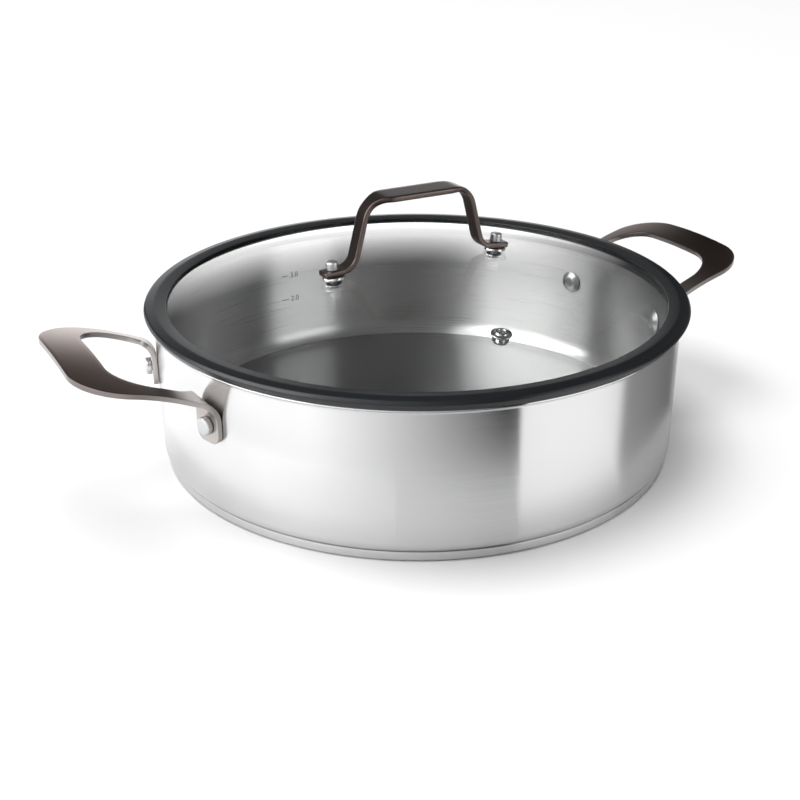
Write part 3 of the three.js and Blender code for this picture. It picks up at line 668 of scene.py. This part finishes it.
place = (Matrix.Rotation(math.radians(vent["turn"]), 4, "Z")
         @ Matrix.Translation((0, -vent["offset"] * mm, glassTop(vent["offset"]) * mm))
         @ Matrix.Rotation(tilt, 4, "X"))
bmesh.ops.transform(bm, matrix=place, verts=bm.verts[:])
makePiece("ventEyelet", bm, chrome, "lid", "chrome", "vent_eyelet")
print("lid fittings made")

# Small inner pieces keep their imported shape
kept = {"base_core": aluminium, "left_upper_gasket": silicone, "left_lower_gasket": silicone,
        "right_upper_gasket": silicone, "right_lower_gasket": silicone, "vent_gasket": silicone,
        "vent_washer": chrome}
for name, material in kept.items():
    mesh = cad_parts[name].data
    mesh.materials.clear()
    mesh.materials.append(material)

# Floor, world, lamps and cards
studio = {"floorSize": 40, "floorTone": "#fbfbfb", "floorRoughness": 0.9, "floorSheen": 0.1, "ambient": 0.1,
          "lampAim": (0, 0, 0.05), "cardFoot": 0.001, "cardSteps": 48}


def stageSheet(name, bm, material):
    mesh = bpy.data.meshes.new(name)
    bm.to_mesh(mesh)
    bm.free()
    mesh.materials.append(material)
    sheet = bpy.data.objects.new(name, mesh)
    scene.collection.objects.link(sheet)
    return sheet


floorMaterial, tree, shader = startMaterial("matteStudioFloor")
shader.inputs["Base Color"].default_value = linear(studio["floorTone"])
shader.inputs["Roughness"].default_value = studio["floorRoughness"]
shader.inputs["Specular IOR Level"].default_value = studio["floorSheen"]
bm = bmesh.new()
bmesh.ops.create_grid(bm, x_segments=1, y_segments=1, size=studio["floorSize"] / 2)
stageSheet("floor", bm, floorMaterial)

world = bpy.data.worlds.new("studio")
world.use_nodes = True
world.node_tree.nodes["Background"].inputs["Color"].default_value = (1, 1, 1, 1)
world.node_tree.nodes["Background"].inputs["Strength"].default_value = studio["ambient"]
scene.world = world

# the softboxes light matt surfaces and stay out of reflections, the reflectors only show in reflections
lamps = {
    "topSoftbox": {"place": (-1.2, 0.6, 13), "size": (10, 10), "power": 1280, "glossy": False},
    "leftSoftbox": {"place": (-3.2, 2.7, 9.6), "size": (8, 8), "power": 500, "glossy": False},
    "leftReflector": {"place": (-0.96, 0.1, 0.72), "size": (1.3, 1), "power": 22, "diffuse": False},
    "topReflector": {"place": (-0.33, 0.33, 1.43), "size": (0.6, 0.6), "power": 4, "diffuse": False},
    "rightReflector": {"place": (0.5, -0.8, 0.35), "size": (0.55, 0.6), "power": 2.5, "diffuse": False},
}
for name, lamp in lamps.items():
    data = bpy.data.lights.new(name, "AREA")
    data.shape = "RECTANGLE"
    data.size, data.size_y = lamp["size"]
    data.energy = lamp["power"]
    light = bpy.data.objects.new(name, data)
    light.location = lamp["place"]
    aim = Vector(studio["lampAim"]) - Vector(lamp["place"])
    light.rotation_euler = aim.to_track_quat("-Z", "Y").to_euler()
    light.visible_diffuse = lamp.get("diffuse", True)
    light.visible_glossy = light.visible_transmission = lamp.get("glossy", True)
    scene.collection.objects.link(light)

# cards that only show in reflections, round the pan: radius, height and bottom in metres, arc in degrees,
# and glow from one turn to another; without ends the glow changes over the whole arc, and a card with
# a fall fades between two heights to a share of its glow
cards = {
    "leftCard": {"radius": 0.215, "tall": 0.1, "arc": (138, 212), "glow": (1.8, 1.8)},
    "lowCard": {"radius": 0.165, "tall": 0.03, "arc": (150, 236), "ends": (205, 236), "glow": (1.7, 1.2)},
    "frontCard": {"radius": 0.21, "tall": 0.3, "arc": (-148, -90), "ends": (-148, -96), "glow": (1.78, 0)},
    "brightCard": {"radius": 0.17, "tall": 0.085, "arc": (-95.5, -63.5), "glow": (1.5, 1.4)},
    "rightCard": {"radius": 0.17, "tall": 0.085, "arc": (-63.5, -22), "ends": (-63.5, -34),
                  "glow": (0.45, 0.22)},
    "rearCard": {"radius": 0.6, "tall": 1, "arc": (28, 102), "ends": (35, 52), "glow": (0, 2),
                 "fall": (0.15, 0.31, 0.045)},
    "sideCard": {"radius": 0.6, "tall": 0.7, "bottom": 0.35, "arc": (-15, 38), "glow": (0.14, 0.14)},
    "darkCard": {"radius": 0.5, "tall": 0.4, "arc": (102, 138), "glow": (0, 0)},
}
for name, card in cards.items():
    cardMaterial = bpy.data.materials.new(name)
    cardMaterial.use_nodes = True
    tree = cardMaterial.node_tree
    place = addNode(tree, "ShaderNodeTexCoord").outputs["Object"]
    middle = sum(card["arc"]) / 2
    ahead = addNode(tree, "ShaderNodeVectorRotate", {"rotation_type": "Z_AXIS"},
                    {"Vector": place, "Angle": -math.radians(middle)})
    share = addNode(tree, "ShaderNodeTexGradient", {"gradient_type": "RADIAL"},
                    {"Vector": ahead.outputs["Vector"]})
    ends = [(end - middle) / 360 + 0.5 for end in card.get("ends", card["arc"])]
    level = addNode(tree, "ShaderNodeMapRange", None, {
        "Value": share.outputs["Fac"], "From Min": ends[0], "From Max": ends[1],
        "To Min": card["glow"][0], "To Max": card["glow"][1]}).outputs["Result"]
    if "fall" in card:
        height = addNode(tree, "ShaderNodeSeparateXYZ", None, {"Vector": place}).outputs["Z"]
        fade = addNode(tree, "ShaderNodeMapRange", None, {
            "Value": height, "From Min": card["fall"][0], "From Max": card["fall"][1],
            "To Min": 1, "To Max": card["fall"][2]})
        level = addNode(tree, "ShaderNodeMath", {"operation": "MULTIPLY"},
                        {0: level, 1: fade.outputs["Result"]}).outputs["Value"]
    glow = addNode(tree, "ShaderNodeEmission", None, {"Strength": level})
    tree.links.new(glow.outputs["Emission"], tree.nodes["Material Output"].inputs["Surface"])
    bm = bmesh.new()
    turn = math.radians(card["arc"][0])
    foot = Vector((card["radius"] * math.cos(turn), card["radius"] * math.sin(turn),
                   card.get("bottom", studio["cardFoot"])))
    verts = [bm.verts.new(foot), bm.verts.new(foot + Vector((0, 0, card["tall"])))]
    edges = [bm.edges.new(verts)]
    bmesh.ops.spin(bm, geom=verts + edges, cent=(0, 0, 0), axis=(0, 0, 1),
                   angle=math.radians(card["arc"][1] - card["arc"][0]), steps=studio["cardSteps"])
    sheet = stageSheet(name, bm, cardMaterial)
    sheet.visible_camera = sheet.visible_diffuse = sheet.visible_shadow = sheet.visible_transmission = False

scene.view_settings.view_transform = "Standard"
print("studio made")
